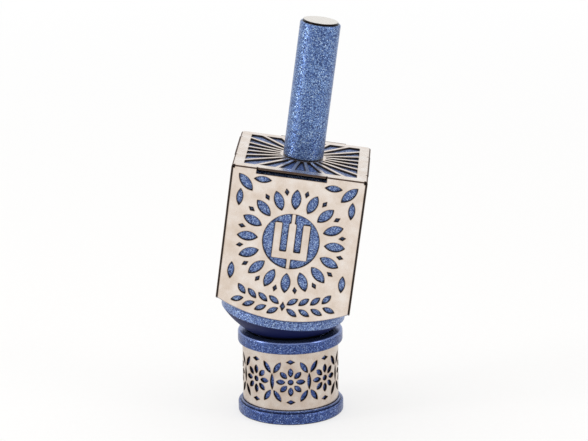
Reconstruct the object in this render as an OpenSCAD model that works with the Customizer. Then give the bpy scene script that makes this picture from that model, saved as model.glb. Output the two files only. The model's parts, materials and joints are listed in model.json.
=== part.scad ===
// A dreidel leaning in its turned stand, in millimetres.
// The dreidel is a square bar, turned to a dome and a point below, in a folded wrap of pierced sheet metal.
// The origin is the middle of the stand's foot, on the surface that it stands on, and +Z is up.

/* [Block] */
// Width of the square bar across its flats
bar_w = 30.8; // [28:0.2:34]
// Rounding of the bar's upright edges
bar_edge_r = 0.4; // [0.2:0.1:1]
// Chamfer round the top of the bar
bar_top_chamfer = 1.6; // [0.6:0.1:2]
// Height of the flats at their middle
flat_h = 35.8; // [33:0.2:42]
// Slope of the cone that turns off the lower corners, in degrees
corner_slope = 30; // [22:1:38]
// How far the turned round lies inside the flats
round_under = 0.5; // [0.1:0.05:0.9]
// Height of the turned round below its cone
round_h = 2; // [1:0.1:5]
// Radius of the dome below the turned round
dome_r = 19.2; // [18:0.1:23]
// Length of the point below the dome
point_len = 2.6; // [1:0.1:4]
// Radius of the point where it leaves the dome
point_base_r = 2.6; // [1.4:0.1:4]
// Radius of the ball that ends the point
point_tip_r = 0.8; // [0.4:0.1:1.2]

/* [Wrap] */
// Thickness of the pierced sheet, for the wrap and the band
sheet_t = 0.4; // [0.3:0.05:0.7]
// Inside radius of the folds
fold_r = 0.3; // [0.2:0.05:0.6]
// How far each flap stops short of the bar's upright edge
flap_inset = 0.1; // [0.05:0.05:0.6]
// How far each fold stops short of the top panel's corners
corner_relief = 0.15; // [0.1:0.05:0.5]
// How far the hem of a flap stays above the turned arc
hem_gap = 0.2; // [0.1:0.05:0.6]
// Height of the relief slot along each fold, below the top panel
slot_h = 1; // [0.6:0.1:1.6]
// Width of the laser's cut beside the ends of a lip
kerf_w = 0.3; // [0.2:0.05:0.4]
// Solid border round the piercing of a flap
border_w = 1.5; // [1.2:0.1:2]
// Solid strip between the rosette and the ends of a flap
rosette_strip = 3; // [2.6:0.1:4]
// Petals in the rosette of a flap
petal_count = 16; // [12:2:18]
// Width of a petal
petal_w = 2.3; // [1.4:0.1:2.5]
// Length of a lozenge between the petals
bead_len = 1.8; // [1:0.1:2.2]
// Width of a lozenge between the petals
bead_w = 1.1; // [0.6:0.1:1.3]

/* [Sprays] */
// Length of the slanting leaf in an upper corner
corner_leaf_len = 5.2; // [3:0.1:5.4]
// Width of the slanting leaf in an upper corner
corner_leaf_w = 2.2; // [1:0.1:2.4]
// Length of a leaf beside the border
side_leaf_len = 4.2; // [2:0.1:4.4]
// Width of a leaf beside the border
side_leaf_w = 1.6; // [0.8:0.1:1.8]
// Distance from the corner to the middle of a leaf beside the border
side_leaf_reach = 5.6; // [5.2:0.1:6]
// Height of the branch's line above the hem
branch_rise = 3.5; // [3.2:0.1:3.8]
// Distance between the branch's pairs of leaves
branch_step = 3.1; // [2.8:0.1:3.3]
// Pairs of leaves on each half of the branch
branch_pairs = 4; // [1:1:4]
// Length of a leaf on the branch
branch_leaf_len = 3.1; // [1.8:0.1:3.2]
// Width of a leaf on the branch
branch_leaf_w = 1.4; // [0.8:0.1:1.5]
// Slant of the leaves on the branch, in degrees
branch_slant = 34; // [28:1:40]
// Length of the lozenge in the middle of the branch
branch_bead_len = 2.4; // [1:0.1:2.8]
// Width of the lozenge in the middle of the branch
branch_bead_w = 1.3; // [0.6:0.1:1.5]

/* [Top panel] */
// Solid border round the sunburst
top_border_w = 2; // [1.4:0.1:3]
// Straps in the sunburst
ray_count = 24; // [12:4:28]
// Width of a strap
ray_w = 0.8; // [0.5:0.1:1.1]
// Width of the hub that shows round the stem
hub_w = 0.7; // [0.5:0.1:2]

/* [Stem] */
// Radius of the stem
stem_r = 4.75; // [4:0.05:6]
// Length of the stem
stem_len = 32.3; // [24:0.1:42]
// Rounding of the stem's upper rim
stem_rim_r = 0.4; // [0.2:0.05:0.5]
// Rounding of the stem's lower rim
stem_foot_r = 0.2; // [0.1:0.05:0.5]
// Width of the stem's rim round the cap
cap_rim = 0.65; // [0.6:0.05:1.2]
// Thickness of the cap
cap_t = 0.7; // [0.4:0.05:1]
// How far the cap is let into the stem
cap_let_in = 0.2; // [0.1:0.05:0.3]
// Clearance round the cap
cap_clearance = 0.05; // [0.03:0.01:0.1]
// Rounding of the cap's upper edge
cap_edge_r = 0.12; // [0.05:0.01:0.18]

/* [Stud] */
// Radius of the stud that joins the stem and the block
stud_r = 2; // [1.5:0.1:2.6]
// Reach of the stud into the stem
stud_up = 9; // [6:0.5:14]
// Reach of the stud into the block
stud_down = 9; // [6:0.5:14]
// Chamfer on the stud's ends
stud_chamfer = 0.5; // [0.3:0.1:0.8]
// Clearance round the stud in its holes
stud_clearance = 0.05; // [0.03:0.01:0.1]
// Depth left free past each end of the stud
stud_relief = 1; // [0.5:0.1:2]

/* [Stand] */
// Height of the stand
stand_h = 20.5; // [18:0.1:26]
// Radius of the flange at the top
flange_r = 12.6; // [12.1:0.1:15]
// Thickness of the flange
flange_h = 3; // [2:0.1:4]
// Rounding of the flange's edges
flange_edge_r = 0.5; // [0.2:0.1:0.9]
// Radius of the waist under the band
waist_r = 11.1; // [10.6:0.05:11.4]
// Radius of the foot
foot_r = 12.7; // [12.3:0.1:15]
// Height of the foot below its step
foot_h = 2.7; // [2:0.1:3.6]
// Rounding of the foot's edges
foot_edge_r = 0.45; // [0.2:0.05:0.8]
// How far the step on the foot reaches out past the waist
step_w = 0.9; // [0.7:0.05:1]
// Height of the step on the foot
step_h = 0.6; // [0.3:0.05:1]
// Radius of the cup's mouth, whose edge carries the dome
cup_mouth_r = 10.2; // [9:0.1:10.4]
// Depth of the cup at its middle
cup_depth = 8; // [7:0.1:9.5]
// Clearance between the dome and the cup's mouth
seat_gap = 0.2; // [0.1:0.05:0.5]

/* [Band] */
// Clearance between the band and the waist
band_clearance = 0.05; // [0.03:0.01:0.1]
// Clearance above and below the band
band_end_gap = 0.1; // [0.05:0.05:0.3]
// Width of the open seam in the band
seam_w = 0.4; // [0.2:0.05:0.8]
// Rosettes round the band
band_units = 8; // [6:1:8]
// Petals in a rosette of the band
band_petals = 8; // [6:1:8]
// Radius of a rosette of the band
band_rosette_r = 3.5; // [2.6:0.1:3.6]
// Width of a petal of the band
band_petal_w = 1.3; // [0.8:0.1:1.4]
// Radius of the eye in a rosette of the band
band_eye_r = 0.7; // [0.4:0.05:0.9]
// Length of the upright leaf between the rosettes
sprig_len = 4.2; // [2:0.1:4.6]
// Width of the upright leaf between the rosettes
sprig_w = 1; // [0.6:0.1:1.1]
// Length of the slanting leaves above and below it
sprig_leaf_len = 3.4; // [1.6:0.1:3.6]
// Width of the slanting leaves above and below it
sprig_leaf_w = 1.3; // [0.6:0.1:1.4]
// Slant of those leaves from the upright, in degrees
sprig_slant = 33; // [26:1:40]
// Metal left between the leaves of a sprig
sprig_gap = 0.7; // [0.5:0.05:1]
// Height of the lozenges above and below each rosette of the band
band_bead_h = 1.2; // [0.6:0.1:1.4]
// Width of those lozenges
band_bead_w = 2.2; // [1:0.1:2.6]
// Distance from the rosette to the middle of those lozenges
band_bead_rise = 1.5; // [1.3:0.1:1.8]

/* [Pose] */
// Lean of the dreidel to the right in its cup, in degrees
lean_right = 7.7; // [0:0.1:12]
// Lean of the dreidel to the front in its cup, in degrees
lean_front = 2.2; // [-6:0.1:8]
// Turn of the dreidel about its own axis, in degrees
turn = -3; // [-45:1:45]

/* [Hidden] */
$fn = 96;
blue_metal = "#5c78b2";
pale_metal = "#dccfc2";
stud_metal = "#8d9196";

// Sides of the bar
SIDES = 4;
side_turn = 360 / SIDES;
// One overrun for all cuts
overrun = 1;

// Where the relief slot starts and ends along a flap
slot_start_share = 0.175;
slot_end_share = 0.71;
// The window and the petals' ends, along the rosette's radius
window_share = 0.52;
petal_start_share = 0.6;
petal_end_share = 0.985;
bead_share = 0.93;
// Where the petals of the band's rosettes start
band_petal_start_share = 0.36;

// Heights along the dreidel's own axis, from the middle of the dome's sphere
bar_half = bar_w / 2;
round_r = bar_half - round_under;
round_low = -sqrt(pow(dome_r, 2) - pow(round_r, 2));
round_top = round_low + round_h;
flats_low = round_top + round_under * tan(corner_slope);
block_top = flats_low + flat_h;
sheet_top = block_top + sheet_t;
stem_top = sheet_top + stem_len;
point_low = -(dome_r + point_len);
corner_r = bar_half * sqrt(2);
corner_rise = (corner_r - bar_half) * tan(corner_slope);

// The flaps of the wrap: flat from the fold down to an arched hem
flap_half = bar_half - flap_inset;
flap_top = block_top - fold_r;
slot_low = block_top - slot_h;
slot_start = flap_half * (2 * slot_start_share - 1);
slot_end = flap_half * (2 * slot_end_share - 1);
hem_low = flats_low + hem_gap;
hem_arc_r = (pow(bar_half, 2) + pow(corner_rise, 2)) / (2 * corner_rise);
hem_side = hem_low + hem_arc_r - sqrt(pow(hem_arc_r, 2) - pow(flap_half, 2));

// The piercing of a flap: a rosette in a field inside the border
field_half = flap_half - border_w;
rosette_y = (flap_top + hem_side) / 2;
rosette_r = min(field_half, (flap_top - hem_side) / 2 - rosette_strip);
window_r = rosette_r * window_share;
petal_start = rosette_r * petal_start_share;
petal_end = rosette_r * petal_end_share;
field_top = slot_low - sheet_t;
field_low = hem_side + border_w;

// The sunburst of the top panel, and the folds along its sides
panel_half = bar_half - fold_r;
fold_half = min(flap_half, panel_half) - corner_relief;
sun_half = panel_half - top_border_w;
hub_r = stem_r + hub_w;

// The cap in the stem's top
cap_r = stem_r - cap_rim;
cap_low = stem_top - cap_let_in;

// The holes that take the stud
stud_hole_r = stud_r + stud_clearance;

// The stand's cup, and the middle of the dome when it sits on the cup's mouth
bowl_r = (pow(cup_mouth_r, 2) + pow(cup_depth, 2)) / (2 * cup_depth);
bowl_z = stand_h - cup_depth + bowl_r;
dome_z = stand_h + sqrt(pow(dome_r + seat_gap, 2) - pow(cup_mouth_r, 2));

// The band between the step of the foot and the flange
band_in_r = waist_r + band_clearance;
band_out_r = band_in_r + sheet_t;
band_low = foot_h + step_h + band_end_gap;
band_high = stand_h - flange_h - band_end_gap;
band_mid = (band_low + band_high) / 2;
band_turn = 360 / band_units;
band_petal_start = band_rosette_r * band_petal_start_share;
band_cut_start = sqrt(pow(band_in_r, 2) - pow(band_rosette_r, 2)) - sheet_t;

// Shapes that repeat

// Places its children on the dreidel's own axis, at its lean in the cup
module on_dreidel() {
    translate([0, 0, dome_z])
        rotate([0, lean_right, 0])
            rotate([lean_front, 0, 0])
                rotate([0, 0, turn])
                    children();
}

// A pointed leaf, upright and centred, between two arcs
module leaf(len, wide) {
    arc_r = (pow(len, 2) + pow(wide, 2)) / (4 * wide);
    intersection() {
        translate([arc_r - wide / 2, 0]) circle(arc_r);
        translate([wide / 2 - arc_r, 0]) circle(arc_r);
    }
}

// A lozenge, upright and centred
module lozenge(len, wide) {
    polygon([[0, len / 2], [wide / 2, 0], [0, -len / 2], [-wide / 2, 0]]);
}

// A ring of leaves that point outwards
module petals(count, start, end, wide) {
    for (i = [0 : count - 1])
        rotate(i * 360 / count)
            translate([0, (start + end) / 2])
                leaf(end - start, wide);
}

// Half of the section of a turned disc, with a rounded lower and upper rim
module disc_section(r, h, low_r, high_r) {
    translate([0, low_r]) square([r, h - low_r - high_r]);
    square([r - low_r, low_r]);
    translate([r - low_r, low_r]) circle(low_r);
    translate([0, h - high_r]) square([r - high_r, high_r]);
    translate([r - high_r, h - high_r]) circle(high_r);
}

// A square with rounded corners, centred
module rounded_square(half, r) {
    square([2 * half, 2 * (half - r)], center = true);
    square([2 * (half - r), 2 * half], center = true);
    for (x = [-1, 1], y = [-1, 1])
        translate([x * (half - r), y * (half - r)]) circle(r);
}

// The block

// Half of the section that the lower end is turned to
module turned_section() {
    polygon([
        [0, round_top],
        [round_r, round_top],
        [corner_r, flats_low + corner_rise],
        [corner_r, block_top + overrun],
        [0, block_top + overrun],
    ]);
    intersection() {
        translate([0, -dome_r]) square([round_r, dome_r + round_top]);
        circle(dome_r);
    }
    intersection() {
        translate([0, point_low]) square([point_base_r, -point_low + round_low]);
        union() {
            translate([0, point_low + point_tip_r]) circle(point_tip_r);
            polygon([
                [0, point_low + point_tip_r],
                [point_tip_r, point_low + point_tip_r],
                [point_base_r, -sqrt(pow(dome_r, 2) - pow(point_base_r, 2))],
                [0, round_low],
            ]);
        }
    }
}

module dreidel_block() {
    color(blue_metal) on_dreidel() difference() {
        intersection() {
            translate([0, 0, point_low - overrun])
                linear_extrude(block_top - point_low + overrun) rounded_square(bar_half, bar_edge_r);
            rotate_extrude() turned_section();
        }
        for (i = [0 : SIDES - 1])
            rotate(i * side_turn)
                translate([-bar_w, -bar_half - bar_top_chamfer, block_top])
                    rotate([-45, 0, 0])
                        translate([0, 0, -bar_top_chamfer * sqrt(2)])
                            cube([2 * bar_w, bar_top_chamfer * sqrt(2), 2 * bar_top_chamfer * sqrt(2)]);
        translate([0, 0, block_top - stud_down - stud_relief])
            cylinder(r = stud_hole_r, h = stud_down + stud_relief + overrun);
    }
}

// The wrap

// The leaves in the upper right corner of a flap: one points at the rosette, two lie beside the border
module corner_spray() {
    translate([field_half, field_top]) {
        rotate(atan2(rosette_y - field_top, -field_half) - 90)
            translate([0, corner_leaf_len / 2])
                leaf(corner_leaf_len, corner_leaf_w);
        translate([-side_leaf_reach, -side_leaf_w / 2])
            rotate(90) leaf(side_leaf_len, side_leaf_w);
        translate([-side_leaf_w / 2, -side_leaf_reach])
            leaf(side_leaf_len, side_leaf_w);
    }
}

// The leafy branch along the right half of the hem, and the leaf that stands over its end
module branch() {
    step_turn = branch_step / hem_arc_r * 180 / PI;
    for (k = [0 : branch_pairs - 1], below = [0, 1])
        translate([0, hem_low + hem_arc_r])
            rotate((k + 1 / 3) * step_turn)
                translate([0, branch_rise - hem_arc_r])
                    mirror([0, below])
                        translate([0, branch_leaf_w / 3])
                            rotate(branch_slant - 90)
                                translate([0, branch_leaf_len / 2])
                                    leaf(branch_leaf_len, branch_leaf_w);
    translate([field_half - side_leaf_w / 2, field_low + side_leaf_reach])
        leaf(side_leaf_len, side_leaf_w);
}

// All that is pierced in a flap
module flap_piercing() {
    translate([0, rosette_y]) {
        circle(window_r);
        petals(petal_count, petal_start, petal_end, petal_w);
        for (i = [0 : petal_count - 1])
            rotate((i + 1 / 2) * 360 / petal_count)
                translate([0, rosette_r * bead_share])
                    lozenge(bead_len, bead_w);
    }
    for (left = [0, 1])
        mirror([left, 0]) {
            corner_spray();
            branch();
        }
    translate([0, hem_low + branch_rise]) lozenge(branch_bead_len, branch_bead_w);
    translate([slot_start, slot_low]) square([slot_end - slot_start, slot_h]);
}

module flap() {
    translate([0, -bar_half, 0])
        rotate([90, 0, 0])
            linear_extrude(sheet_t)
                difference() {
                    intersection() {
                        translate([-flap_half, hem_low]) square([2 * flap_half, flap_top - hem_low]);
                        translate([0, hem_low + hem_arc_r]) circle(hem_arc_r, $fn = 6 * $fn);
                    }
                    flap_piercing();
                }
}

// A tab of the fold beside the relief slot, which runs on into the flap and the top panel
module fold(from, to) {
    out_r = fold_r + sheet_t;
    translate([from, fold_r - bar_half, flap_top])
        rotate([90, 0, 90])
            linear_extrude(to - from) {
                intersection() {
                    difference() {
                        circle(out_r);
                        circle(fold_r);
                    }
                    translate([-out_r, 0]) square(out_r);
                }
                translate([-out_r, -fold_r]) square([sheet_t, fold_r]);
                translate([0, fold_r]) square([fold_r, sheet_t]);
            }
}

// All that is pierced in the top panel: a sunburst between straps, and the stud's hole
module top_piercing() {
    difference() {
        square(2 * sun_half, center = true);
        circle(hub_r);
        for (i = [0 : ray_count - 1])
            rotate((i + 1 / 2) * 360 / ray_count)
                translate([-ray_w / 2, 0]) square([ray_w, corner_r]);
    }
    circle(stud_hole_r);
}

// The lip of the top panel that stays flat over a relief slot
module lip() {
    translate([slot_start + kerf_w, -bar_half - sheet_t])
        square([slot_end - slot_start - 2 * kerf_w, fold_r + sheet_t + overrun]);
}

module top_panel() {
    translate([0, 0, block_top])
        linear_extrude(sheet_t)
            difference() {
                union() {
                    square(2 * panel_half, center = true);
                    for (i = [0 : SIDES - 1]) rotate(i * side_turn) lip();
                }
                top_piercing();
            }
}

module cutout_wrap() {
    color(pale_metal) on_dreidel() {
        top_panel();
        for (i = [0 : SIDES - 1])
            rotate(i * side_turn) {
                fold(-fold_half, slot_start);
                fold(slot_end, fold_half);
                flap();
            }
    }
}

// The stem

module stem() {
    color(blue_metal) on_dreidel() difference() {
        translate([0, 0, sheet_top])
            rotate_extrude() disc_section(stem_r, stem_len, stem_foot_r, stem_rim_r);
        translate([0, 0, sheet_top - overrun])
            cylinder(r = stud_hole_r, h = stud_up + stud_relief + overrun);
        translate([0, 0, cap_low])
            cylinder(r = cap_r + cap_clearance, h = cap_t + overrun);
    }
}

module stem_cap() {
    color(pale_metal) on_dreidel()
        translate([0, 0, cap_low])
            rotate_extrude() disc_section(cap_r, cap_t, cap_edge_r, cap_edge_r);
}

module stem_stud() {
    low = block_top - stud_down;
    high = sheet_top + stud_up;
    color(stud_metal) on_dreidel()
        rotate_extrude()
            polygon([
                [0, low],
                [stud_r - stud_chamfer, low],
                [stud_r, low + stud_chamfer],
                [stud_r, high - stud_chamfer],
                [stud_r - stud_chamfer, high],
                [0, high],
            ]);
}

// The stand

module stand_spool() {
    color(blue_metal)
        rotate_extrude()
            difference() {
                union() {
                    disc_section(foot_r, foot_h, foot_edge_r, foot_edge_r);
                    square([waist_r + step_w, foot_h + step_h]);
                    square([waist_r, stand_h - flange_edge_r]);
                    translate([0, stand_h - flange_h])
                        disc_section(flange_r, flange_h, flange_edge_r, flange_edge_r);
                }
                translate([0, bowl_z]) circle(bowl_r);
            }
}

// A rosette of the band, with its two lozenges
module band_rosette() {
    circle(band_eye_r);
    petals(band_petals, band_petal_start, band_rosette_r, band_petal_w);
    for (side = [-1, 1])
        translate([0, side * (band_rosette_r + band_bead_rise)])
            lozenge(band_bead_h, band_bead_w);
}

// A sprig of five leaves, which stands between two rosettes
module band_sprig() {
    leaf(sprig_len, sprig_w);
    for (below = [0, 1], left = [0, 1])
        mirror([0, below])
            mirror([left, 0])
                translate([sprig_gap / 2, sprig_len / 2])
                    rotate(-sprig_slant)
                        translate([0, sprig_leaf_len / 2])
                            leaf(sprig_leaf_len, sprig_leaf_w);
}

// Pierces its flat child through the band, at a place round it
module through_band(angle) {
    rotate(angle)
        translate([0, -band_cut_start, band_mid])
            rotate([90, 0, 0])
                linear_extrude(band_out_r - band_cut_start + overrun) children();
}

module stand_band() {
    color(pale_metal) difference() {
        rotate_extrude()
            translate([band_in_r, band_low]) square([sheet_t, band_high - band_low]);
        for (i = [0 : band_units - 1]) {
            through_band(i * band_turn) band_rosette();
            through_band((i + 1 / 2) * band_turn) band_sprig();
        }
        through_band(180 + band_turn / 4)
            square([seam_w, 2 * stand_h], center = true);
    }
}

stand_spool();
stand_band();
dreidel_block();
cutout_wrap();
stem_stud();
stem();
stem_cap();
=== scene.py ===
"""Dresses a packed dreidel and its stand: finishes, game marks, studio and camera.

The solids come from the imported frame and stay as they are. Lengths in the classes are
millimetres, and every mesh is in metres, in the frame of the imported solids.
"""

import json
import logging
import math
from dataclasses import dataclass
from enum import Enum

import bpy
from mathutils import Matrix, Vector


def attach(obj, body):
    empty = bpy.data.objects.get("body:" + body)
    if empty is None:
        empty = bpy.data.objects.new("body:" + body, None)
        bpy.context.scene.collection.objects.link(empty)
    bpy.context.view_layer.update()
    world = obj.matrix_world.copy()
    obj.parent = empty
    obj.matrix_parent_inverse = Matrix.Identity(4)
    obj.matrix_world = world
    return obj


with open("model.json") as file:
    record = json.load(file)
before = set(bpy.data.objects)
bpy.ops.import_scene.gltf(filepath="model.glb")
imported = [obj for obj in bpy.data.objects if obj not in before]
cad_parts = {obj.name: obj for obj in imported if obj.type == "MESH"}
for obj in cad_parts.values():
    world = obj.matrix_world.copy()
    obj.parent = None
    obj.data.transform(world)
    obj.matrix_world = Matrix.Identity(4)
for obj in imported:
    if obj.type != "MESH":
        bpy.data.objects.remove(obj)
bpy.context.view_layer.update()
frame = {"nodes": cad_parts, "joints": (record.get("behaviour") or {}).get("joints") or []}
MM = 0.001
WHITE = "#ffffff"
# Rays per point with which a finish feels for the edges and corners near it.
FEELER_RAYS = 8
# Stands a flat sketch upright: its height along +Z, its face towards -Y.
UPRIGHT = Matrix(((1, 0, 0, 0), (0, 0, -1, 0), (0, 1, 0, 0), (0, 0, 0, 1)))
LOG = logging.getLogger("dreidel")

Tree = bpy.types.NodeTree
Socket = bpy.types.NodeSocket
Span = tuple[float, float]


def linear(colour: str) -> tuple[float, float, float, float]:
    """Turns an sRGB hex colour into the linear colour that a shader takes.

    Args:
        colour: The colour as "#rrggbb".

    Returns:
        Red, green, blue and a full alpha.
    """
    channels = []
    for start in (1, 3, 5):
        share = int(colour[start:start + 2], 16) / 255
        low = share / 12.92
        high = ((share + 0.055) / 1.055) ** 2.4
        channels.append(low if share <= 0.04045 else high)
    return channels[0], channels[1], channels[2], 1.0


def add_node(
    tree: Tree, kind: str, inputs: dict[str | int, object] | None = None, **settings: object
) -> bpy.types.Node:
    """Adds one node to a tree, with its settings, fixed values and links.

    Args:
        tree: The shader tree or geometry tree that gets the node.
        kind: The node's type, such as "ShaderNodeMath".
        inputs: For a socket's name or number, its value, the output that feeds it, or a list of outputs.
        settings: The node's own attributes, such as operation="ADD".

    Returns:
        The new node.
    """
    node = tree.nodes.new(kind)
    for name, value in settings.items():
        setattr(node, name, value)
    for key, value in (inputs or {}).items():
        feeds = value if isinstance(value, list) else [value]
        for feed in feeds:
            if isinstance(feed, Socket):
                tree.links.new(feed, node.inputs[key])
            else:
                node.inputs[key].default_value = feed
    return node


def empty_material(name: str) -> tuple[bpy.types.Material, Tree]:
    """Starts a node material with an empty tree.

    Args:
        name: The material's name.

    Returns:
        The material and its tree.
    """
    material = bpy.data.materials.new(name)
    material.use_nodes = True
    material.node_tree.nodes.clear()
    return material, material.node_tree


def dress(node: str, material: bpy.types.Material) -> bpy.types.Object:
    """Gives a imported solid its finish.

    Args:
        node: The solid's name.
        material: The finish.

    Returns:
        The solid's object.
    """
    solid = frame["nodes"][node]
    solid.data.materials.clear()
    solid.data.materials.append(material)
    return solid


def own_box(node: str, place: Matrix) -> tuple[Vector, Vector]:
    """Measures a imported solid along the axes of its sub-assembly's own frame.

    Args:
        node: The solid's name.
        place: Where the sub-assembly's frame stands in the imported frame.

    Returns:
        The lowest and the highest corner, in millimetres.
    """
    solid = frame["nodes"][node]
    to_own = place.inverted() @ solid.matrix_world
    points = [to_own @ vertex.co / MM for vertex in solid.data.vertices]
    low = Vector(min(point[axis] for point in points) for axis in range(3))
    high = Vector(max(point[axis] for point in points) for axis in range(3))
    return low, high


def own_millimetres(tree: Tree, place: Matrix) -> Socket:
    """Adds the coordinates of a sub-assembly's own frame, in millimetres.

    Args:
        tree: The shader tree.
        place: Where the sub-assembly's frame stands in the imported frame.

    Returns:
        The vector output that patterns read.
    """
    source = add_node(tree, "ShaderNodeTexCoord")
    turned = {
        "Vector": source.outputs["Object"],
        "Location": place.to_translation(),
        "Rotation": place.to_euler(),
        "Scale": (MM, MM, MM),
    }
    return add_node(tree, "ShaderNodeMapping", turned, vector_type="TEXTURE").outputs["Vector"]


def from_axis(tree: Tree, where: Socket) -> Socket:
    """Adds how a point lies out from the upright axis of its sub-assembly's frame.

    Args:
        tree: The shader tree.
        where: The sub-assembly's own coordinates.

    Returns:
        A level vector in millimetres.
    """
    parts = add_node(tree, "ShaderNodeSeparateXYZ", {"Vector": where}).outputs
    return add_node(tree, "ShaderNodeCombineXYZ", {"X": parts["X"], "Y": parts["Y"]}).outputs["Vector"]


def only_seen(tree: Tree) -> Socket:
    """Adds the mask of the rays that show a surface: to the camera, in a reflection or through glass.

    Args:
        tree: The shader tree.

    Returns:
        1 for those rays and 0 for the rays that only light something.
    """
    path = add_node(tree, "ShaderNodeLightPath").outputs
    seen = add_node(
        tree, "ShaderNodeMath", {0: path["Is Camera Ray"], 1: path["Is Glossy Ray"]}, operation="MAXIMUM"
    )
    return add_node(
        tree, "ShaderNodeMath", {0: seen.outputs[0], 1: path["Is Transmission Ray"]}, operation="MAXIMUM"
    ).outputs[0]


class Turned(Enum):
    """The zone of a blue piece that a lathe leaves smooth, beside what is blasted."""

    DOME = "below the turned round"
    BOWL = "inside the cup"


class CutFrom(Enum):
    """The form that a pierced sheet is bent to, which tells its face from its cut walls."""

    FOLDED_BOX = "folded over a square block"
    ROLLED_TUBE = "rolled round a waist"


@dataclass(frozen=True)
class BlastedAnodising:
    """Aluminium, blasted with beads and anodised: a satin sheen broken into tiny blue facets."""

    name: str
    turned: Turned
    # Height of the dome's upper edge, or radius of the cup's mouth.
    turned_edge_mm: float
    # Height above which a rim is turned smooth too.
    turned_rim_mm: float = math.inf
    # Height above which the middle of the spool is its cup.
    cup_low_mm: float = 5.0
    # How far inside the turned edge the smooth zone begins to fade, and how far inside it ends.
    fade_mm: Span = (0.06, 0.02)
    # The tone of the turned zone; its dark navy, and the near black that the block's dome takes, are
    # painted shade under the block.
    smooth: str = "#263561"
    deep: str = "#1d2d5a"
    body: str = "#4e69a2"
    light: str = "#84a5d5"
    glint: str = "#bcd3ec"
    # Where the lower three tones stand among the facets; the glint stands at 1.
    deep_stop: float = 0.02
    body_stop: float = 0.5
    light_stop: float = 0.86
    # A bead's dent is about 0.1 mm wide; drawn twice as coarse, to show at the render's scale.
    facet_mm: float = 0.18
    # How far a facet may lean from the surface.
    tilt: float = 0.30
    # The dye takes a little deeper in wide, soft clouds.
    cloud_mm: float = 2.0
    cloud_span: Span = (0.35, 0.65)
    cloud_share: float = 0.16
    metallic: float = 0.78
    roughness: float = 0.33
    # How far single facets are smoother and rougher than that.
    roughness_span: Span = (-0.07, 0.09)
    # The clear oxide over the dye: it greys the edges and keeps the lamps white.
    oxide: float = 0.15
    oxide_roughness: float = 0.30
    # The lathe's rings are a few hundredths of a millimetre apart; drawn coarser, to show.
    ring_mm: float = 0.15
    turned_roughness: float = 0.36
    ring_span: Span = (-0.07, 0.07)
    # Painted shade darkens the blue in a narrow line where it meets the walls of a cut-out, and wherever
    # other surfaces lie close.
    painted_shade: str = "#0d1020"
    painted_shade_mm: float = 0.9
    painted_shade_span: Span = (0.62, 0.82)
    # Handling rubs the dye thin along the turned edges; the lighter tone there is also a painted highlight
    # along them.
    rub_and_highlight_tone: str = "#a9b4cf"
    rub_and_highlight_mm: float = 0.35
    rub_and_highlight_span: Span = (0.55, 0.9)
    rub_and_highlight: float = 0.55

    def smooth_zone(self, tree: Tree, where: Socket) -> Socket:
        """Adds the mask of the zone that is turned smooth and left unblasted.

        Args:
            tree: The shader tree.
            where: The piece's own coordinates.

        Returns:
            1 on the turned zone and 0 on the blasted one.
        """
        begins, ends = (self.turned_edge_mm - step for step in self.fade_mm)
        fade = {"From Min": begins, "From Max": ends, "To Min": 1.0, "To Max": 0.0}
        height = add_node(tree, "ShaderNodeSeparateXYZ", {"Vector": where}).outputs["Z"]
        if self.turned is Turned.DOME:
            return add_node(tree, "ShaderNodeMapRange", {"Value": height, **fade}).outputs["Result"]
        radius = add_node(tree, "ShaderNodeVectorMath", {0: from_axis(tree, where)}, operation="LENGTH")
        inside = add_node(tree, "ShaderNodeMapRange", {"Value": radius.outputs["Value"], **fade})
        raised = add_node(tree, "ShaderNodeMath", {0: height, 1: self.cup_low_mm}, operation="GREATER_THAN")
        bowl = add_node(
            tree,
            "ShaderNodeMath",
            {0: inside.outputs["Result"], 1: raised.outputs[0]},
            operation="MULTIPLY",
        )
        rim = add_node(tree, "ShaderNodeMath", {0: height, 1: self.turned_rim_mm}, operation="GREATER_THAN")
        return add_node(
            tree, "ShaderNodeMath", {0: bowl.outputs[0], 1: rim.outputs[0]}, operation="MAXIMUM"
        ).outputs[0]

    def wear_and_highlight_edges(self, tree: Tree) -> Socket:
        """Adds how far the dye wears off, which is most along sharp edges, and where the lighter tone is
        also a painted highlight.

        Args:
            tree: The shader tree.

        Returns:
            The share that wears off and is painted lighter, 0 away from the edges.
        """
        edges = add_node(
            tree,
            "ShaderNodeAmbientOcclusion",
            {"Distance": self.rub_and_highlight_mm * MM},
            samples=FEELER_RAYS,
            inside=True,
        )
        sharp, flat = self.rub_and_highlight_span
        return add_node(
            tree,
            "ShaderNodeMapRange",
            {
                "Value": edges.outputs["AO"],
                "From Min": sharp,
                "From Max": flat,
                "To Min": self.rub_and_highlight,
                "To Max": 0.0,
            },
        ).outputs["Result"]

    def dye(self, tree: Tree, where: Socket, grain: Socket) -> Socket:
        """Adds the colour of the blasted dye: facets of four tones under deeper clouds.

        Args:
            tree: The shader tree.
            where: The piece's own coordinates.
            grain: The random colour of each facet.

        Returns:
            The colour.
        """
        picked = add_node(tree, "ShaderNodeSeparateColor", {"Color": grain})
        tones = add_node(tree, "ShaderNodeValToRGB", {"Fac": picked.outputs["Red"]})
        stops = tones.color_ramp.elements
        stops[0].position = self.deep_stop
        stops[0].color = linear(self.deep)
        stops[1].position = 1.0
        stops[1].color = linear(self.glint)
        stops.new(self.body_stop).color = linear(self.body)
        stops.new(self.light_stop).color = linear(self.light)
        clouds = add_node(
            tree,
            "ShaderNodeTexNoise",
            {"Vector": where, "Scale": 1 / self.cloud_mm, "Detail": 4.0, "Roughness": 0.6},
        )
        thin, thick = self.cloud_span
        share = add_node(
            tree,
            "ShaderNodeMapRange",
            {
                "Value": clouds.outputs["Fac"],
                "From Min": thin,
                "From Max": thick,
                "To Max": self.cloud_share,
            },
        )
        return add_node(
            tree,
            "ShaderNodeMix",
            {0: share.outputs["Result"], 6: tones.outputs["Color"], 7: linear(self.deep)},
            data_type="RGBA",
        ).outputs[2]

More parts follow.
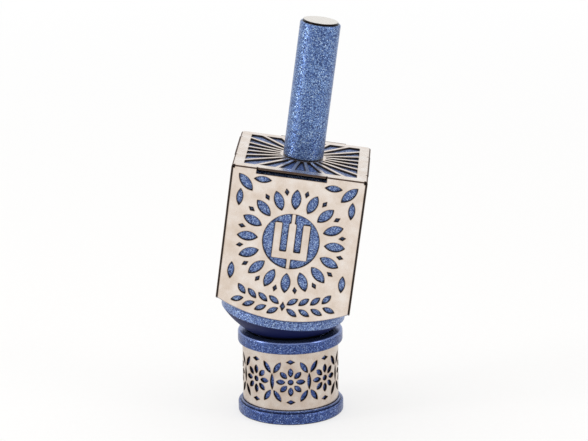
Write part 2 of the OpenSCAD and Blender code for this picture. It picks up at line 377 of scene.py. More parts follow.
    def wear_and_painted_light(self, tree: Tree, dye: Socket, zone: Socket, rub_and_highlight: Socket) -> Socket:
        """Adds what lies over the dye: the tone of the smooth turning, lighter edges that wear and carry a
        painted highlight, and painted shade in the corners.

        Args:
            tree: The shader tree.
            dye: The colour of the blasted dye.
            zone: The mask of the smooth zone.
            rub_and_highlight: The share of the dye that wears off, painted lighter as a highlight too.

        Returns:
            The colour of the whole piece.
        """
        # Painted shade: the colour darkens where other surfaces close in within a short distance.
        corners = add_node(
            tree, "ShaderNodeAmbientOcclusion", {"Distance": self.painted_shade_mm * MM}, samples=FEELER_RAYS
        )
        closed, opened = self.painted_shade_span
        painted_shade_mask = add_node(
            tree,
            "ShaderNodeMapRange",
            {
                "Value": corners.outputs["AO"],
                "From Min": closed,
                "From Max": opened,
                "To Min": 1.0,
                "To Max": 0.0,
            },
        )
        colour = dye
        for mask, over in ((zone, self.smooth), (rub_and_highlight, self.rub_and_highlight_tone), (painted_shade_mask.outputs["Result"], self.painted_shade)):
            colour = add_node(
                tree, "ShaderNodeMix", {0: mask, 6: colour, 7: linear(over)}, data_type="RGBA"
            ).outputs[2]
        return colour

    def satin(self, tree: Tree, where: Socket, grain: Socket, polished: Socket) -> Socket:
        """Adds the roughness: uneven from facet to facet, and in rings where the piece is turned.

        Args:
            tree: The shader tree.
            where: The piece's own coordinates.
            grain: The random colour of each facet.
            polished: The mask of the turned zone and of the edges that wear smooth.

        Returns:
            The roughness.
        """
        picked = add_node(tree, "ShaderNodeSeparateColor", {"Color": grain})
        smoothest, roughest = (self.roughness + step for step in self.roughness_span)
        blasted = add_node(
            tree,
            "ShaderNodeMapRange",
            {"Value": picked.outputs["Green"], "To Min": smoothest, "To Max": roughest},
        )
        height = add_node(tree, "ShaderNodeSeparateXYZ", {"Vector": where})
        rings = add_node(
            tree,
            "ShaderNodeTexNoise",
            {"W": height.outputs["Z"], "Scale": 1 / self.ring_mm, "Detail": 1.0},
            noise_dimensions="1D",
        )
        smoothest, roughest = (self.turned_roughness + step for step in self.ring_span)
        ringed = add_node(
            tree,
            "ShaderNodeMapRange",
            {"Value": rings.outputs["Fac"], "To Min": smoothest, "To Max": roughest},
        )
        return add_node(
            tree,
            "ShaderNodeMix",
            {0: polished, 2: blasted.outputs["Result"], 3: ringed.outputs["Result"]},
            data_type="FLOAT",
        ).outputs[0]

    def facing(self, tree: Tree, grain: Socket, polished: Socket) -> Socket:
        """Adds the way that each facet faces, leaning from the surface where it is blasted.

        Args:
            tree: The shader tree.
            grain: The random colour of each facet.
            polished: The mask of the turned zone and of the edges that wear smooth.

        Returns:
            The normal.
        """
        centred = add_node(
            tree, "ShaderNodeVectorMath", {0: grain, 1: (0.5, 0.5, 0.5)}, operation="SUBTRACT"
        )
        lean = add_node(
            tree, "ShaderNodeMapRange", {"Value": polished, "To Min": self.tilt, "To Max": 0.0}
        )
        leaned = add_node(
            tree,
            "ShaderNodeVectorMath",
            {0: centred.outputs["Vector"], "Scale": lean.outputs["Result"]},
            operation="SCALE",
        )
        surface = add_node(tree, "ShaderNodeNewGeometry")
        summed = add_node(
            tree,
            "ShaderNodeVectorMath",
            {0: surface.outputs["Normal"], 1: leaned.outputs["Vector"]},
            operation="ADD",
        )
        return add_node(
            tree, "ShaderNodeVectorMath", {0: summed.outputs["Vector"]}, operation="NORMALIZE"
        ).outputs["Vector"]

    def material(self, place: Matrix) -> bpy.types.Material:
        """Builds the finish.

        Args:
            place: The frame of the sub-assembly that wears it.

        Returns:
            The material.
        """
        material, tree = empty_material(self.name)
        where = own_millimetres(tree, place)
        grain = add_node(
            tree, "ShaderNodeTexVoronoi", {"Vector": where, "Scale": 1 / self.facet_mm}
        ).outputs["Color"]
        zone = self.smooth_zone(tree, where)
        rub_and_highlight = self.wear_and_highlight_edges(tree)
        polished = add_node(tree, "ShaderNodeMath", {0: zone, 1: rub_and_highlight}, operation="MAXIMUM").outputs[0]
        shader = add_node(
            tree,
            "ShaderNodeBsdfPrincipled",
            {
                "Base Color": self.wear_and_painted_light(tree, self.dye(tree, where, grain), zone, rub_and_highlight),
                "Metallic": self.metallic,
                "Roughness": self.satin(tree, where, grain, polished),
                "Normal": self.facing(tree, grain, polished),
                "Coat Weight": self.oxide,
                "Coat Roughness": self.oxide_roughness,
            },
        )
        add_node(tree, "ShaderNodeOutputMaterial", {"Surface": shader.outputs["BSDF"]})
        return material


@dataclass(frozen=True)
class PiercedSheet:
    """Stainless steel, cold rolled and cut by laser: a warm satin face with burnt brown walls."""

    name: str
    form: CutFrom
    # Where the outer face of the bent sheet lies, from the middle of the bend or the axis.
    face_mm: float
    # Where the middle of the bend lies: out from the axis, and up.
    bend_half_mm: float = 0.0
    bend_top_mm: float = 0.0
    face: str = "#e6d9ce"
    warm: str = "#dbcbbc"
    cool: str = "#eee6df"
    # Where the three tones stand in the clouds.
    warm_stop: float = 0.32
    face_stop: float = 0.52
    cool_stop: float = 0.70
    cloud_mm: float = 3.0
    # How deep below the face a cut wall is in full view, and how deep it begins.
    wall_mm: Span = (0.05, 0.02)
    # Shares of the bend's outer radius between which a line is scored along each fold.
    score_span: Span = (0.40, 0.50)
    # How deep below the face a cut wall is burnt, and how deep it is only scorched.
    char_mm: Span = (0.30, 0.02)
    burnt: str = "#221b18"
    scorched: str = "#4a372b"
    wall_metallic: float = 0.35
    # How much rougher a cut wall is than the face.
    wall_dulling: float = 0.35
    # The laser's heat leaves a straw-brown line along each cut.
    heat: str = "#8d6f56"
    heat_mm: float = 0.2
    heat_span: Span = (0.55, 0.95)
    heat_share: float = 0.7
    # Rolling lines are a few hundredths of a millimetre wide; drawn coarser, to show.
    line_mm: float = 0.18
    line_len_mm: float = 5.0
    line_span: Span = (0.3, 0.7)
    line_depth_mm: float = 0.02
    line_strength: float = 0.12
    roughness: float = 0.27
    # How far single lines are smoother and rougher than that.
    roughness_span: Span = (-0.05, 0.07)

    def outward(self, tree: Tree, where: Socket) -> Socket:
        """Adds how a point lies out from the sheet's bend, sideways and upwards, or from its axis.

        Args:
            tree: The shader tree.
            where: The sheet's own coordinates.

        Returns:
            A vector in millimetres, longest on the outer face.
        """
        if self.form is CutFrom.ROLLED_TUBE:
            return from_axis(tree, where)
        parts = add_node(tree, "ShaderNodeSeparateXYZ", {"Vector": where}).outputs
        x_out = add_node(tree, "ShaderNodeMath", {0: parts["X"]}, operation="ABSOLUTE")
        y_out = add_node(tree, "ShaderNodeMath", {0: parts["Y"]}, operation="ABSOLUTE")
        side = add_node(
            tree, "ShaderNodeMath", {0: x_out.outputs[0], 1: y_out.outputs[0]}, operation="MAXIMUM"
        )
        offset = add_node(tree, "ShaderNodeCombineXYZ", {"X": side.outputs[0], "Y": parts["Z"]})
        from_bend = add_node(
            tree,
            "ShaderNodeVectorMath",
            {0: offset.outputs["Vector"], 1: (self.bend_half_mm, self.bend_top_mm, 0.0)},
            operation="SUBTRACT",
        )
        return add_node(
            tree,
            "ShaderNodeVectorMath",
            {0: from_bend.outputs["Vector"], 1: (0.0, 0.0, 0.0)},
            operation="MAXIMUM",
        ).outputs["Vector"]

    def walls(self, tree: Tree, outward: Socket, depth: Socket) -> Socket:
        """Adds the mask of the cut walls, the flat lips' ends and the scored lines of the folds.

        Args:
            tree: The shader tree.
            outward: How a point lies out from the sheet's bend.
            depth: How far out it lies.

        Returns:
            1 on a cut wall and 0 on the face.
        """
        full, begins = (self.face_mm - deep for deep in self.wall_mm)
        below = add_node(
            tree,
            "ShaderNodeMapRange",
            {"Value": depth, "From Min": full, "From Max": begins, "To Min": 1.0, "To Max": 0.0},
        ).outputs["Result"]
        if self.form is CutFrom.ROLLED_TUBE:
            return below
        parts = add_node(tree, "ShaderNodeSeparateXYZ", {"Vector": outward}).outputs
        both = add_node(tree, "ShaderNodeMath", {0: parts["X"], 1: parts["Y"]}, operation="MINIMUM")
        begins, full = (self.face_mm * share for share in self.score_span)
        scored = add_node(
            tree,
            "ShaderNodeMapRange",
            {"Value": both.outputs[0], "From Min": begins, "From Max": full},
        )
        return add_node(
            tree, "ShaderNodeMath", {0: below, 1: scored.outputs["Result"]}, operation="MAXIMUM"
        ).outputs[0]

    def clouded(self, tree: Tree, where: Socket) -> Socket:
        """Adds the colour of the face: soft clouds of three tones, and browned lines along the cuts.

        Args:
            tree: The shader tree.
            where: The sheet's own coordinates.

        Returns:
            The colour.
        """
        clouds = add_node(
            tree,
            "ShaderNodeTexNoise",
            {"Vector": where, "Scale": 1 / self.cloud_mm, "Detail": 5.0, "Roughness": 0.6},
        )
        tones = add_node(tree, "ShaderNodeValToRGB", {"Fac": clouds.outputs["Fac"]})
        stops = tones.color_ramp.elements
        stops[0].position = self.warm_stop
        stops[0].color = linear(self.warm)
        stops[1].position = self.cool_stop
        stops[1].color = linear(self.cool)
        stops.new(self.face_stop).color = linear(self.face)
        edges = add_node(
            tree,
            "ShaderNodeAmbientOcclusion",
            {"Distance": self.heat_mm * MM},
            samples=FEELER_RAYS,
            inside=True,
        )
        sharp, flat = self.heat_span
        warmth = add_node(
            tree,
            "ShaderNodeMapRange",
            {
                "Value": edges.outputs["AO"],
                "From Min": sharp,
                "From Max": flat,
                "To Min": self.heat_share,
                "To Max": 0.0,
            },
        )
        return add_node(
            tree,
            "ShaderNodeMix",
            {0: warmth.outputs["Result"], 6: tones.outputs["Color"], 7: linear(self.heat)},
            data_type="RGBA",
        ).outputs[2]

    def charred(self, tree: Tree, depth: Socket) -> Socket:
        """Adds the colour of the cut walls, burnt darker the deeper they lie.

        Args:
            tree: The shader tree.
            depth: How far out a point lies.

        Returns:
            The colour.
        """
        deepest, shallowest = (self.face_mm - deep for deep in self.char_mm)
        scorch = add_node(
            tree,
            "ShaderNodeMapRange",
            {"Value": depth, "From Min": deepest, "From Max": shallowest},
        )
        return add_node(
            tree,
            "ShaderNodeMix",
            {0: scorch.outputs["Result"], 6: linear(self.burnt), 7: linear(self.scorched)},
            data_type="RGBA",
        ).outputs[2]

    def material(self, place: Matrix) -> bpy.types.Material:
        """Builds the finish.

        Args:
            place: The frame of the sub-assembly that wears it.

        Returns:
            The material.
        """
        material, tree = empty_material(self.name)
        where = own_millimetres(tree, place)
        outward = self.outward(tree, where)
        depth = add_node(tree, "ShaderNodeVectorMath", {0: outward}, operation="LENGTH").outputs["Value"]
        wall = self.walls(tree, outward, depth)
        coloured = add_node(
            tree,
            "ShaderNodeMix",
            {0: wall, 6: self.clouded(tree, where), 7: self.charred(tree, depth)},
            data_type="RGBA",
        )
        bare = add_node(
            tree, "ShaderNodeMapRange", {"Value": wall, "To Min": 1.0, "To Max": self.wall_metallic}
        )
        stretched = add_node(
            tree,
            "ShaderNodeMapping",
            {"Vector": where, "Scale": (1 / self.line_mm, 1 / self.line_mm, 1 / self.line_len_mm)},
        )
        lines = add_node(
            tree,
            "ShaderNodeTexNoise",
            {"Vector": stretched.outputs["Vector"], "Scale": 1.0, "Detail": 2.0},
        ).outputs["Fac"]
        low, high = self.line_span
        smoothest, roughest = (self.roughness + step for step in self.roughness_span)
        satin = add_node(
            tree,
            "ShaderNodeMapRange",
            {"Value": lines, "From Min": low, "From Max": high, "To Min": smoothest, "To Max": roughest},
        )
        dull = add_node(
            tree,
            "ShaderNodeMath",
            {0: wall, 1: self.wall_dulling, 2: satin.outputs["Result"]},
            operation="MULTIPLY_ADD",
        )
        grooves = add_node(
            tree,
            "ShaderNodeBump",
            {"Strength": self.line_strength, "Distance": self.line_depth_mm * MM, "Height": lines},
        )
        shader = add_node(
            tree,
            "ShaderNodeBsdfPrincipled",
            {
                "Base Color": coloured.outputs[2],
                "Metallic": bare.outputs["Result"],
                "Roughness": dull.outputs[0],
                "Normal": grooves.outputs["Normal"],
            },
        )
        add_node(tree, "ShaderNodeOutputMaterial", {"Surface": shader.outputs["BSDF"]})
        return material


@dataclass(frozen=True)
class FacedDisc:
    """Stainless steel, cut by laser and faced: rings round the middle, and a burnt rim."""

    disc_r_mm: float
    name: str = "faced_stainless_disc"
    bright: str = "#ebe6df"
    shade: str = "#d8cfc4"
    burnt: str = "#1f1a1a"
    # How far in from the edge the burnt rim begins, and how far in it is full.
    rim_mm: Span = (0.09, 0.06)
    # A facing tool leaves rings about 0.1 mm apart; drawn coarser, to show.
    ring_mm: float = 0.22
    ring_depth_mm: float = 0.03
    ring_strength: float = 0.25
    roughness: float = 0.24
    # How far single rings are smoother and rougher than that.
    roughness_span: Span = (-0.06, 0.08)

    def material(self, place: Matrix) -> bpy.types.Material:
        """Builds the finish.

        Args:
            place: The frame of the sub-assembly that wears it.

        Returns:
            The material.
        """
        material, tree = empty_material(self.name)
        where = own_millimetres(tree, place)
        radius = add_node(
            tree, "ShaderNodeVectorMath", {0: from_axis(tree, where)}, operation="LENGTH"
        ).outputs["Value"]
        rings = add_node(
            tree,
            "ShaderNodeTexNoise",
            {"W": radius, "Scale": 1 / self.ring_mm, "Detail": 2.0},
            noise_dimensions="1D",
        ).outputs["Fac"]
        tone = add_node(
            tree,
            "ShaderNodeMix",
            {0: rings, 6: linear(self.shade), 7: linear(self.bright)},
            data_type="RGBA",
        )
        begins, full = (self.disc_r_mm - inside for inside in self.rim_mm)
        rim = add_node(
            tree, "ShaderNodeMapRange", {"Value": radius, "From Min": begins, "From Max": full}
        )
        rimmed = add_node(
            tree,
            "ShaderNodeMix",
            {0: rim.outputs["Result"], 6: tone.outputs[2], 7: linear(self.burnt)},
            data_type="RGBA",
        )
        smoothest, roughest = (self.roughness + step for step in self.roughness_span)
        satin = add_node(
            tree, "ShaderNodeMapRange", {"Value": rings, "To Min": smoothest, "To Max": roughest}
        )
        grooves = add_node(
            tree,
            "ShaderNodeBump",
            {"Strength": self.ring_strength, "Distance": self.ring_depth_mm * MM, "Height": rings},
        )
        shader = add_node(
            tree,
            "ShaderNodeBsdfPrincipled",
            {
                "Base Color": rimmed.outputs[2],
                "Metallic": 1.0,
                "Roughness": satin.outputs["Result"],
                "Normal": grooves.outputs["Normal"],
            },
        )
        add_node(tree, "ShaderNodeOutputMaterial", {"Surface": shader.outputs["BSDF"]})
        return material


@dataclass(frozen=True)
class DrawnSteel:
    """Mild steel, cold drawn: grey, with fine scores along the rod."""

    name: str = "drawn_steel_rod"
    grey: str = "#8d9196"
    dark: str = "#74787d"
    # Drawing scores are finer than a hair; drawn coarser, to show.
    score_mm: float = 0.2
    score_len_mm: float = 6.0
    smoothest: float = 0.25
    roughest: float = 0.42

    def material(self, place: Matrix) -> bpy.types.Material:
        """Builds the finish.

        Args:
            place: The frame of the sub-assembly that wears it.

        Returns:
            The material.
        """
        material, tree = empty_material(self.name)
        where = own_millimetres(tree, place)
        stretched = add_node(
            tree,
            "ShaderNodeMapping",
            {"Vector": where, "Scale": (1 / self.score_mm, 1 / self.score_mm, 1 / self.score_len_mm)},
        )
        scores = add_node(
            tree, "ShaderNodeTexNoise", {"Vector": stretched.outputs["Vector"], "Scale": 1.0}
        ).outputs["Fac"]
        tone = add_node(
            tree,
            "ShaderNodeMix",
            {0: scores, 6: linear(self.dark), 7: linear(self.grey)},
            data_type="RGBA",
        )
        satin = add_node(
            tree, "ShaderNodeMapRange", {"Value": scores, "To Min": self.smoothest, "To Max": self.roughest}
        )
        shader = add_node(
            tree,
            "ShaderNodeBsdfPrincipled",
            {"Base Color": tone.outputs[2], "Metallic": 1.0, "Roughness": satin.outputs["Result"]},
        )
        add_node(tree, "ShaderNodeOutputMaterial", {"Surface": shader.outputs["BSDF"]})
        return material


@dataclass(frozen=True)
class StudioPaper:
    """Seamless background paper: matt white with a faint tooth."""

    name: str = "white_studio_paper"
    white: str = "#fbfaf8"
    shade: str = "#f6f4f1"
    tooth_mm: float = 1.5
    # How far the paper is lifted to plain white for the eye and for reflections; its shadow stays.
    lift: float = 0.65
    # How far out the paper begins to fade into the white surround, and is one with it.
    fade_mm: Span = (120.0, 600.0)

    def material(self) -> bpy.types.Material:
        """Builds the finish.

        Returns:
            The material.
        """
        material, tree = empty_material(self.name)
        where = own_millimetres(tree, Matrix.Identity(4))
        tooth = add_node(
            tree, "ShaderNodeTexNoise", {"Vector": where, "Scale": 1 / self.tooth_mm, "Detail": 3.0}
        )
        tone = add_node(
            tree,
            "ShaderNodeMix",
            {0: tooth.outputs["Fac"], 6: linear(self.shade), 7: linear(self.white)},
            data_type="RGBA",
        )
        matt = add_node(
            tree,
            "ShaderNodeBsdfPrincipled",
            {"Base Color": tone.outputs[2], "Roughness": 0.9, "Specular IOR Level": 0.1},
        )
        plain = add_node(tree, "ShaderNodeEmission", {"Color": linear(WHITE), "Strength": 1.0})
        begins, full = self.fade_mm
        far = add_node(tree, "ShaderNodeVectorMath", {0: where}, operation="LENGTH")
        lift = add_node(
            tree,
            "ShaderNodeMapRange",
            {
                "Value": far.outputs["Value"],
                "From Min": begins,
                "From Max": full,
                "To Min": self.lift,
                "To Max": 1.0,
            },
        )
        seen = add_node(
            tree, "ShaderNodeMath", {0: only_seen(tree), 1: lift.outputs["Result"]}, operation="MULTIPLY"
        )
        lifted = add_node(
            tree, "ShaderNodeMixShader", {0: seen.outputs[0], 1: matt.outputs[0], 2: plain.outputs[0]}
        )
        add_node(tree, "ShaderNodeOutputMaterial", {"Surface": lifted.outputs["Shader"]})
        return material


class Mark(Enum):
    """The four marks of the game, as cut outlines in shares of the mark's width and height.

    A height below 0 or above 1 stands for the rim of the round window, which a tie reaches.
    """

    SHIN = (
        (
            (0.0, 1.0), (0.0, 0.0), (0.45, 0.0), (0.45, -1.0), (0.55, -1.0), (0.55, 0.0), (1.0, 0.0),
            (1.0, 1.0), (0.8, 1.0), (0.8, 0.2), (0.6, 0.2), (0.6, 1.0), (0.55, 1.0), (0.55, 2.0),
            (0.45, 2.0), (0.45, 1.0), (0.4, 1.0), (0.4, 0.2), (0.2, 0.2), (0.2, 1.0),
        ),
    )
    NUN = (
        (
            (0.28, 1.0), (0.28, 0.8), (0.55, 0.8), (0.55, 0.2), (0.1, 0.2), (0.1, 0.0), (0.4, 0.0),
            (0.4, -1.0), (0.5, -1.0), (0.5, 0.0), (0.78, 0.0), (0.78, 1.0), (0.6, 1.0), (0.6, 2.0),
            (0.5, 2.0), (0.5, 1.0),
        ),
    )
    GIMEL = (
        (
            (0.3, 1.0), (0.3, 0.8), (0.52, 0.8), (0.52, 0.46), (0.1, 0.0), (0.18, 0.0), (0.18, -1.0),
            (0.28, -1.0), (0.28, 0.0), (0.36, 0.0), (0.57, 0.26), (0.68, 0.0), (0.92, 0.0),
            (0.74, 0.38), (0.74, 1.0), (0.62, 1.0), (0.62, 2.0), (0.52, 2.0), (0.52, 1.0),
        ),
    )
    HEI = (
        (
            (0.05, 1.0), (0.05, 0.8), (0.73, 0.8), (0.73, 0.0), (0.79, 0.0), (0.79, -1.0),
            (0.89, -1.0), (0.89, 0.0), (0.95, 0.0), (0.95, 1.0), (0.55, 1.0), (0.55, 2.0),
            (0.45, 2.0), (0.45, 1.0),
        ),
        (
            (0.08, 0.6), (0.08, 0.0), (0.14, 0.0), (0.14, -1.0), (0.24, -1.0), (0.24, 0.0),
            (0.3, 0.0), (0.3, 0.6),
        ),
    )


@dataclass
class GameMarks:
    """Four cut plates, one in the round window of each face, each held by its ties."""

    # The sheet's thickness, and how far the block's faces lie from its axis.
    plate_t: float
    block_half: float
    width: float = 8.2
    height: float = 8.6
    corner_r: float = 0.22
    corner_steps: int = 4
    # The round window in the wrap: its radius, and its middle's height above the pivot.
    window_r: float = 6.674
    window_z: float = 9.846
    # The hair's breadth between a plate and the block, and the distance at which points are welded.
    seat: float = 0.005
    weld: float = 0.001

    def loops(self, mark: Mark) -> list[list[Vector]]:
        """Works out a mark's outlines in its own plane.

        Args:
            mark: The mark to draw.

        Returns:
            One list of corner points for each closed outline, in metres.
        """
        outlines = []
        for loop in mark.value:
            points = []
            for across, up in loop:
                x = (across - 0.5) * self.width
                y = (up - 0.5) * self.height
                if not 0.0 <= up <= 1.0:
                    y = math.copysign(math.sqrt(self.window_r ** 2 - x ** 2), y)
                points.append(Vector((x, y, 0.0)) * MM)
            outlines.append(points)
        return outlines

    def sketch(self, mark: Mark) -> bpy.types.Object:
        """Draws a mark's outlines as a mesh of edges.

        Args:
            mark: The mark to draw.

        Returns:
            The sketch, named for its mark.
        """
        corners = []
        edges = []
        for points in self.loops(mark):
            first = len(corners)
            total = len(points)
            corners.extend(points)
            edges.extend((first + i, first + (i + 1) % total) for i in range(total))
        name = f"game_mark_{mark.name.lower()}"
        mesh = bpy.data.meshes.new(name)
        mesh.from_pydata(corners, edges, [])
        sketch = bpy.data.objects.new(name, mesh)
        bpy.context.scene.collection.objects.link(sketch)
        return sketch

    def plate_tree(self) -> Tree:
        """Builds the geometry nodes that turn closed outlines into a cut plate.

        Returns:
            The tree, with its sizes and its finish as named inputs.
        """
        tree = bpy.data.node_groups.new("cut_plate", "GeometryNodeTree")
        sockets = {
            "Outline": "NodeSocketGeometry",
            "Thickness": "NodeSocketFloat",
            "Corner Radius": "NodeSocketFloat",
            "Corner Steps": "NodeSocketInt",
            "Weld": "NodeSocketFloat",
            "Finish": "NodeSocketMaterial",
        }
        for name, kind in sockets.items():
            tree.interface.new_socket(name, in_out="INPUT", socket_type=kind)
        tree.interface.new_socket("Plate", in_out="OUTPUT", socket_type="NodeSocketGeometry")
        given = add_node(tree, "NodeGroupInput").outputs
        path = add_node(tree, "GeometryNodeMeshToCurve", {"Mesh": given["Outline"]})
        eased = add_node(
            tree,
            "GeometryNodeFilletCurve",
            {
                "Curve": path.outputs["Curve"],
                "Count": given["Corner Steps"],
                "Radius": given["Corner Radius"],
                "Limit Radius": True,
            },
            mode="POLY",
        )
        face = add_node(tree, "GeometryNodeFillCurve", {"Curve": eased.outputs["Curve"]}, mode="NGONS")
        raised = add_node(
            tree,
            "GeometryNodeExtrudeMesh",
            {"Mesh": face.outputs["Mesh"], "Offset Scale": given["Thickness"], "Individual": False},
        )
        under = add_node(tree, "GeometryNodeFlipFaces", {"Mesh": face.outputs["Mesh"]})
        closed = add_node(
            tree, "GeometryNodeJoinGeometry", {"Geometry": [raised.outputs["Mesh"], under.outputs["Mesh"]]}
        )
        joined = add_node(
            tree,
            "GeometryNodeMergeByDistance",
            {"Geometry": closed.outputs["Geometry"], "Distance": given["Weld"]},
        )
        real = add_node(
            tree, "GeometryNodeRealizeInstances", {"Geometry": joined.outputs["Geometry"]}
        )
        dressed = add_node(
            tree,
            "GeometryNodeSetMaterial",
            {"Geometry": real.outputs["Geometry"], "Material": given["Finish"]},
        )
        add_node(tree, "NodeGroupOutput", {"Plate": dressed.outputs["Geometry"]})
        return tree

    def build(self, place: Matrix, finish: bpy.types.Material) -> list[bpy.types.Object]:
        """Cuts the four plates and sets each one on its face.

        Args:
            place: The dreidel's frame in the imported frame.
            finish: The material of the plates.

        Returns:
            The four finished pieces.
        """
        tree = self.plate_tree()
        values = {
            "Thickness": self.plate_t * MM,
            "Corner Radius": self.corner_r * MM,
            "Corner Steps": self.corner_steps,
            "Weld": self.weld * MM,
            "Finish": finish,
        }
        to_face = Matrix.Translation(Vector((0, -(self.block_half + self.seat), self.window_z)) * MM)
        plates = []
        for count, mark in enumerate(Mark):
            plate = self.sketch(mark)
            cutter = plate.modifiers.new(tree.name, "NODES")
            cutter.node_group = tree
            for socket in tree.interface.items_tree:
                if socket.name in values:
                    cutter[socket.identifier] = values[socket.name]
            shown = plate.evaluated_get(bpy.context.evaluated_depsgraph_get())
            mesh = bpy.data.meshes.new_from_object(shown)
            plate.modifiers.remove(cutter)
            plate.data = mesh
            mesh.name = plate.name
            mesh.transform(place @ Matrix.Rotation(count * math.pi / 2, 4, "Z") @ to_face @ UPRIGHT)
            plates.append(plate)
        return plates


@dataclass
class Dreidel:
    """The spinning top: block, folded wrap, stem and its disc, and the game marks."""

    joint: str = "spin"
    body: str = "dreidel"
    # How far the dreidel is turned about its own axis at rest.
    turn_deg: float = -3.0
    # Two sizes of the solids that their boxes don't give: the folds' inside radius,
    # and the height of the dome's upper edge.
    fold_r: float = 0.3
    round_low: float = -12.109

    def place(self) -> Matrix:
        """Works out the dreidel's own frame from its joint: pivot, lean and turn.

        Returns:
            The frame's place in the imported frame.
        """
        joint = next(item for item in frame["joints"] if item["name"] == self.joint)
        axis = Vector(joint["axis"])
        to_right = Matrix.Rotation(math.atan2(axis.x, axis.z), 4, "Y")
        to_front = Matrix.Rotation(-math.asin(axis.y), 4, "X")
        turn = Matrix.Rotation(math.radians(self.turn_deg), 4, "Z")
        return Matrix.Translation(Vector(joint["pos_m"])) @ to_right @ to_front @ turn

    def build(self) -> list[bpy.types.Object]:
        """Dresses the solids and adds the game marks.

        Returns:
            Every piece of the dreidel.
        """
        place = self.place()
        block = own_box("dreidel_block", place)[1]
        sheet_t = own_box("cutout_wrap", place)[1].x - block.x
        stem_blue = BlastedAnodising("blue_anodised_stem", Turned.DOME, self.round_low)
        # The block wears a lighter, warmer copy of the stem's blue as painted light, and its dome is near
        # black as painted shade.
        block_blue = BlastedAnodising(
            "blue_anodised_block_painted_light_and_shade",
            Turned.DOME,
            self.round_low,
            deep="#25345e",
            body="#5a71a9",
            light="#91aadb",
            # Near-black navy on the dome below the turned round: painted shade under the block.
            smooth="#0b1750",
            turned_roughness=0.75,
        )
        sheet = PiercedSheet(
            "pale_stainless_wrap",
            CutFrom.FOLDED_BOX,
            self.fold_r + sheet_t,
            block.x - self.fold_r,
            block.z - self.fold_r,
        ).material(place)
        dressed = {
            "dreidel_block": block_blue.material(place),
            "stem": stem_blue.material(place),
            "cutout_wrap": sheet,
            "stem_cap": FacedDisc(own_box("stem_cap", place)[1].x).material(place),
            "stem_stud": DrawnSteel().material(place),
        }
        pieces = [dress(node, material) for node, material in dressed.items()]
        marks = GameMarks(sheet_t, block.x).build(place, sheet)
        for mark in marks:
            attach(mark, self.body)
        return pieces + marks


@dataclass
class Stand:
    """The turned stand: its spool and the pierced band round its waist."""

    cup_mouth_r: float = 10.2
    # How far the smooth turning of the flange's top runs down its rounded edge.
    rim_t: float = 0.4

    def build(self) -> list[bpy.types.Object]:
        """Dresses the solids.

        Returns:
            Every piece of the stand.
        """
        place = Matrix.Identity(4)
        # The stand wears a darker copy of the dreidel's blue as painted shade under the block, and painted
        # shade close under the dome.
        blue = BlastedAnodising(
            "blue_anodised_stand_painted_shade",
            Turned.BOWL,
            self.cup_mouth_r,
            own_box("stand_spool", place)[1].z - self.rim_t,
            deep="#1b2a58",
            body="#324884",
            light="#566faa",
            glint="#97acd8",
            turned_roughness=0.17,
            smooth="#6b7cae",
            painted_shade_mm=0.42,
            rub_and_highlight=0.45,
        )
        # The band wears a darker, greyer copy of the wrap's colours as painted shade under the block.
        band = PiercedSheet(
            "pale_stainless_band_painted_shade",
            CutFrom.ROLLED_TUBE,
            own_box("stand_band", place)[1].x,
            face="#cdc0b5",
            warm="#c1b0a1",
            cool="#d5cdc4",
        )
        return [dress("stand_spool", blue.material(place)), dress("stand_band", band.material(place))]


class Softbox(Enum):
    """A softbox of the studio: where it hangs, how wide and high it is in metres, and its power."""

    TOP = ((-0.12, 0.05, 1.30), (2.60, 3.00), 27.0)
    LEFT = ((-0.67, -0.25, 0.18), (0.16, 0.60), 1.75)
    RIGHT = ((0.70, -0.36, 0.22), (0.26, 0.60), 1.5)


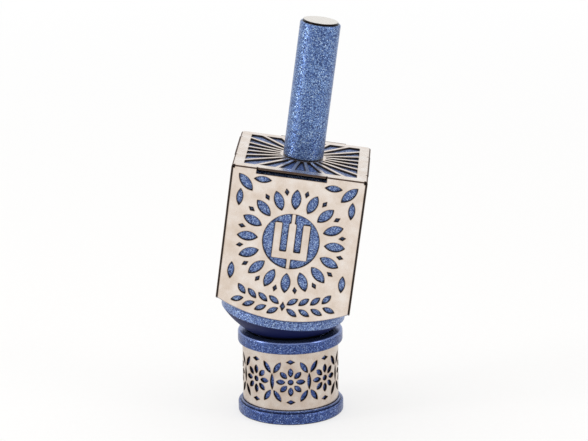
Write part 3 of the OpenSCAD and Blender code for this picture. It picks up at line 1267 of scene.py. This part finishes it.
@dataclass
class Studio:
    """White paper, softboxes, a white surround and the camera."""

    floor_half_m: float = 3.0
    floor_drop_mm: float = 0.02
    # How bright the white surround is as a light.
    surround: float = 0.30
    # The cool daylight that the metal mirrors from behind the set, and where it begins and is full.
    daylight: str = "#fbfdff"
    daylight_span: Span = (0.2, 0.7)
    # How steeply a ray climbs where the top softbox begins to hide the surround, and hides it wholly.
    softbox_span: Span = (0.62, 0.75)
    aim_m: tuple[float, float, float] = (0.0, 0.0, 0.05)
    # The camera's place, pitch, roll and lens come from a fit to the picture's straight edges.
    camera_mm: tuple[float, float, float] = (1.20, -551.6, 192.9)
    pitch_deg: float = 14.81
    roll_deg: float = -0.61
    lens_mm: float = 146.94
    sensor_mm: float = 36.0
    clip_m: float = 0.01

    def floor(self) -> None:
        """Lays the paper just under the stand's foot."""
        half = self.floor_half_m
        corners = [(-half, -half, 0.0), (half, -half, 0.0), (half, half, 0.0), (-half, half, 0.0)]
        mesh = bpy.data.meshes.new("studio_floor")
        mesh.from_pydata(corners, [], [(0, 1, 2, 3)])
        mesh.transform(Matrix.Translation((0.0, 0.0, -self.floor_drop_mm * MM)))
        mesh.materials.append(StudioPaper().material())
        paper = bpy.data.objects.new("studio_floor", mesh)
        bpy.context.scene.collection.objects.link(paper)

    def hang(self, box: Softbox) -> None:
        """Hangs one softbox, facing the object.

        Args:
            box: The softbox to hang.
        """
        spot, size, power = box.value
        lamp = bpy.data.lights.new(f"softbox_{box.name.lower()}", "AREA")
        lamp.shape = "RECTANGLE"
        lamp.size = size[0]
        lamp.size_y = size[1]
        lamp.energy = power
        hung = bpy.data.objects.new(lamp.name, lamp)
        hung.location = spot
        towards = Vector(self.aim_m) - Vector(spot)
        hung.rotation_euler = towards.to_track_quat("-Z", "Y").to_euler()
        bpy.context.scene.collection.objects.link(hung)

    def paint_surround(self) -> None:
        """Makes the surround white to the eye, a little cooler in the metal, and softer as a light."""
        world = bpy.data.worlds.new("studio_surround")
        world.use_nodes = True
        tree = world.node_tree
        tree.nodes.clear()
        level = add_node(
            tree, "ShaderNodeMapRange", {"Value": only_seen(tree), "To Min": self.surround, "To Max": 1.0}
        )
        ray = add_node(tree, "ShaderNodeTexCoord").outputs["Generated"]
        parts = add_node(tree, "ShaderNodeSeparateXYZ", {"Vector": ray})
        begins, full = self.daylight_span
        behind = add_node(
            tree, "ShaderNodeMapRange", {"Value": parts.outputs["Y"], "From Min": begins, "From Max": full}
        )
        glossy = add_node(tree, "ShaderNodeLightPath").outputs["Is Glossy Ray"]
        mirrored = add_node(
            tree, "ShaderNodeMath", {0: behind.outputs["Result"], 1: glossy}, operation="MULTIPLY"
        )
        tone = add_node(
            tree,
            "ShaderNodeMix",
            {0: mirrored.outputs[0], 6: linear(WHITE), 7: linear(self.daylight)},
            data_type="RGBA",
        )
        begins, full = self.softbox_span
        overhead = add_node(
            tree, "ShaderNodeMapRange", {"Value": parts.outputs["Z"], "From Min": begins, "From Max": full}
        )
        hidden = add_node(
            tree, "ShaderNodeMath", {0: overhead.outputs["Result"], 1: glossy}, operation="MULTIPLY"
        )
        bare = add_node(tree, "ShaderNodeMath", {0: 1.0, 1: hidden.outputs[0]}, operation="SUBTRACT")
        strength = add_node(
            tree, "ShaderNodeMath", {0: level.outputs["Result"], 1: bare.outputs[0]}, operation="MULTIPLY"
        )
        shown = add_node(
            tree, "ShaderNodeBackground", {"Color": tone.outputs[2], "Strength": strength.outputs[0]}
        )
        add_node(tree, "ShaderNodeOutputWorld", {"Surface": shown.outputs["Background"]})
        bpy.context.scene.world = world

    def aim_camera(self) -> None:
        """Sets up the camera at the picture's viewing angle."""
        lens = bpy.data.cameras.new("camera")
        lens.lens = self.lens_mm
        lens.sensor_width = self.sensor_mm
        lens.sensor_fit = "HORIZONTAL"
        lens.clip_start = self.clip_m
        camera = bpy.data.objects.new("camera", lens)
        tilt = Matrix.Rotation(math.radians(90.0 - self.pitch_deg), 4, "X")
        roll = Matrix.Rotation(math.radians(self.roll_deg), 4, "Z")
        camera.matrix_world = Matrix.Translation(Vector(self.camera_mm) * MM) @ tilt @ roll
        bpy.context.scene.collection.objects.link(camera)
        bpy.context.scene.camera = camera

    def build(self) -> None:
        """Builds the whole studio."""
        bpy.context.scene.view_settings.view_transform = "Standard"
        self.floor()
        for box in Softbox:
            self.hang(box)
        self.paint_surround()
        self.aim_camera()


def main() -> None:
    """Builds the stand, the dreidel and the studio in turn, and logs each piece's count of faces."""
    logging.basicConfig(level=logging.INFO, format="%(name)s: %(message)s")
    for assembly in (Stand(), Dreidel()):
        for piece in assembly.build():
            LOG.info("%s: %d faces", piece.name, len(piece.data.polygons))
    Studio().build()


if __name__ == "__main__":
    main()
